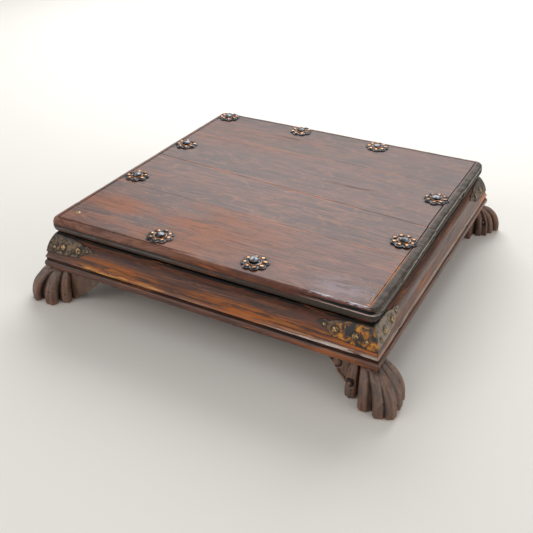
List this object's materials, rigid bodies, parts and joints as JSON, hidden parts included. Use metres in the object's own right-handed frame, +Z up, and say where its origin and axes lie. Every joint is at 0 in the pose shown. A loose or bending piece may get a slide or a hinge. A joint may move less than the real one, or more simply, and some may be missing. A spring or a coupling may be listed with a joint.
{
  "type": "bajot low table",
  "caption": "Low square wooden table: boarded top with metal flowers, moulded apron with corner straps, and carved paw feet that fan out at the corners.",
  "frame": {"origin": "on the floor under the middle of the table", "axes": "+Z up, +X to the right along the boards, +Y to the back"},
  "size_m": [0.5408, 0.5134, 0.1286],
  "materials": {
    "top_wood": "old dark polish, satin",
    "apron_wood": "old dark polish, worn to orange on the edges",
    "foot_wood": "dark brown, waxed",
    "bare_wood": "unpolished",
    "strap_iron": "dark, with ochre patina",
    "nail_iron": "dark, rubbed bright on the heads",
    "flower_brass": "pressed, dark in the hollows"
  },
  "bodies": {
    "root": {"batten_left": "bare_wood", "batten_nails_left": "nail_iron", "batten_nails_right": "nail_iron", "batten_right": "bare_wood", "board_dowels": "bare_wood", "corner_key_back_left": "bare_wood", "corner_key_back_right": "bare_wood", "corner_key_front_left": "bare_wood", "corner_key_front_right": "bare_wood", "corner_strap_back_left": "strap_iron", "corner_strap_back_right": "strap_iron", "corner_strap_front_left": "strap_iron", "corner_strap_front_right": "strap_iron", "flower_back_left": "flower_brass", "flower_back_left_corner": "flower_brass", "flower_back_right": "flower_brass", "flower_front_left": "flower_brass", "flower_front_right": "flower_brass", "flower_left_back": "flower_brass", "flower_left_front": "flower_brass", "flower_nails": "nail_iron", "flower_right_back": "flower_brass", "flower_right_front": "flower_brass", "foot_back_left": "foot_wood", "foot_back_right": "foot_wood", "foot_front_left": "foot_wood", "foot_front_right": "foot_wood", "foot_peg_back_left": "bare_wood", "foot_peg_back_right": "bare_wood", "foot_peg_front_left": "bare_wood", "foot_peg_front_right": "bare_wood", "rail_back": "apron_wood", "rail_front": "apron_wood", "rail_left": "apron_wood", "rail_right": "apron_wood", "strap_nails_back_left": "nail_iron", "strap_nails_back_right": "nail_iron", "strap_nails_front_left": "nail_iron", "strap_nails_front_right": "nail_iron", "stub_nail_front_left": "nail_iron", "top_board_back": "top_wood", "top_board_front": "top_wood", "top_board_middle_back": "top_wood", "top_board_middle_front": "top_wood"}
  },
  "joints": []
}
